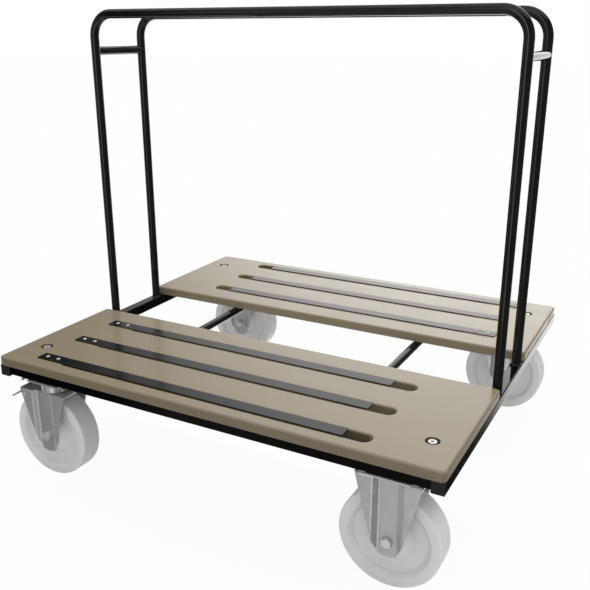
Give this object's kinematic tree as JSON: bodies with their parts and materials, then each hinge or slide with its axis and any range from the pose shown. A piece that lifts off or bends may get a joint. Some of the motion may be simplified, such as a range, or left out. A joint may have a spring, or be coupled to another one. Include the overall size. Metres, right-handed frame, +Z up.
{
  "type": "banquet table trolley",
  "caption": "Low trolley with slotted boards and tongue strips on a black tube frame, tall twin hoops between the boards, fixed castors at one end and braked swivel castors at the other.",
  "frame": {"origin": "on the floor, under the middle of the trolley", "axes": "+X along the trolley towards the fixed castors, +Y towards the rear board, +Z up"},
  "size_m": [1.006, 0.904, 0.991],
  "materials": {
    "black_paint": "gloss black enamel",
    "cap_plastic": "black moulded plastic",
    "board": "satin lacquered board",
    "strip": "black flexible strip",
    "zinc": "zinc plated steel",
    "dark_zinc": "zinc plated steel, darker",
    "bright_steel": "bright steel",
    "nylon": "off-white cast nylon",
    "rubber": "black rubber"
  },
  "bodies": {
    "frame": {"left_end_tube": "black_paint", "right_end_tube": "black_paint", "front_rail": "black_paint", "rear_rail": "black_paint", "front_inner_rail": "black_paint", "rear_inner_rail": "black_paint", "left_cross_tube": "black_paint", "right_cross_tube": "black_paint", "tube_end_caps": "cap_plastic", "front_hoop": "black_paint", "rear_hoop": "black_paint", "left_hoop_spacer": "black_paint", "right_hoop_spacer": "black_paint", "hoop_foot_welds": "black_paint", "front_board": "board", "rear_board": "board", "front_outer_strip": "strip", "front_middle_strip": "strip", "front_inner_strip": "strip", "rear_outer_strip": "strip", "rear_middle_strip": "strip", "rear_inner_strip": "strip", "strip_screws": "bright_steel", "board_bolts": "bright_steel", "board_washers": "rubber", "board_rivet_nuts": "zinc", "front_fixed_plate": "zinc", "front_fixed_fork": "zinc", "rear_fixed_plate": "zinc", "rear_fixed_fork": "zinc", "fixed_axle_bolts": "bright_steel", "fixed_axle_nuts": "bright_steel", "fixed_axle_sleeves": "bright_steel", "front_swivel_plate": "zinc", "rear_swivel_plate": "zinc", "swivel_pins": "zinc", "swivel_balls": "bright_steel"},
    "front_fixed_roller": {"front_fixed_wheel": "nylon", "front_fixed_bearings": "bright_steel"},
    "front_swivel": {"front_swivel_fork": "dark_zinc", "front_swivel_axle_bolt": "bright_steel", "front_swivel_axle_nut": "bright_steel", "front_swivel_axle_sleeve": "bright_steel", "front_brake_pin": "bright_steel"},
    "front_swivel_roller": {"front_swivel_wheel": "nylon", "front_swivel_bearings": "bright_steel"},
    "front_brake": {"front_brake_pedal": "dark_zinc", "front_brake_shoe": "rubber"},
    "rear_fixed_roller": {"rear_fixed_wheel": "nylon", "rear_fixed_bearings": "bright_steel"},
    "rear_swivel": {"rear_swivel_fork": "dark_zinc", "rear_swivel_axle_bolt": "bright_steel", "rear_swivel_axle_nut": "bright_steel", "rear_swivel_axle_sleeve": "bright_steel", "rear_brake_pin": "bright_steel"},
    "rear_swivel_roller": {"rear_swivel_wheel": "nylon", "rear_swivel_bearings": "bright_steel"},
    "rear_brake": {"rear_brake_pedal": "dark_zinc", "rear_brake_shoe": "rubber"}
  },
  "joints": [
    {"name": "front_swivel_turn", "type": "hinge", "parent": "frame", "child": "front_swivel", "pos_m": [-0.39, -0.4, 0.215], "axis": [0, 0, 1], "continuous": true},
    {"name": "front_swivel_wheel_spin", "type": "hinge", "parent": "front_swivel", "child": "front_swivel_roller", "pos_m": [-0.401, -0.4, 0.0975], "axis": [0, 1, 0], "continuous": true},
    {"name": "front_fixed_wheel_spin", "type": "hinge", "parent": "frame", "child": "front_fixed_roller", "pos_m": [0.401, -0.4, 0.0975], "axis": [0, 1, 0], "continuous": true},
    {"name": "front_brake_press", "type": "hinge", "parent": "front_swivel", "child": "front_brake", "pos_m": [-0.451, -0.4, 0.1915], "axis": [0, -1, 0], "range_deg": [0, 12]},
    {"name": "rear_swivel_turn", "type": "hinge", "parent": "frame", "child": "rear_swivel", "pos_m": [-0.39, 0.4, 0.215], "axis": [0, 0, 1], "continuous": true},
    {"name": "rear_swivel_wheel_spin", "type": "hinge", "parent": "rear_swivel", "child": "rear_swivel_roller", "pos_m": [-0.401, 0.4, 0.0975], "axis": [0, 1, 0], "continuous": true},
    {"name": "rear_fixed_wheel_spin", "type": "hinge", "parent": "frame", "child": "rear_fixed_roller", "pos_m": [0.401, 0.4, 0.0975], "axis": [0, 1, 0], "continuous": true},
    {"name": "rear_brake_press", "type": "hinge", "parent": "rear_swivel", "child": "rear_brake", "pos_m": [-0.451, 0.4, 0.1915], "axis": [0, -1, 0], "range_deg": [0, 12]}
  ]
}
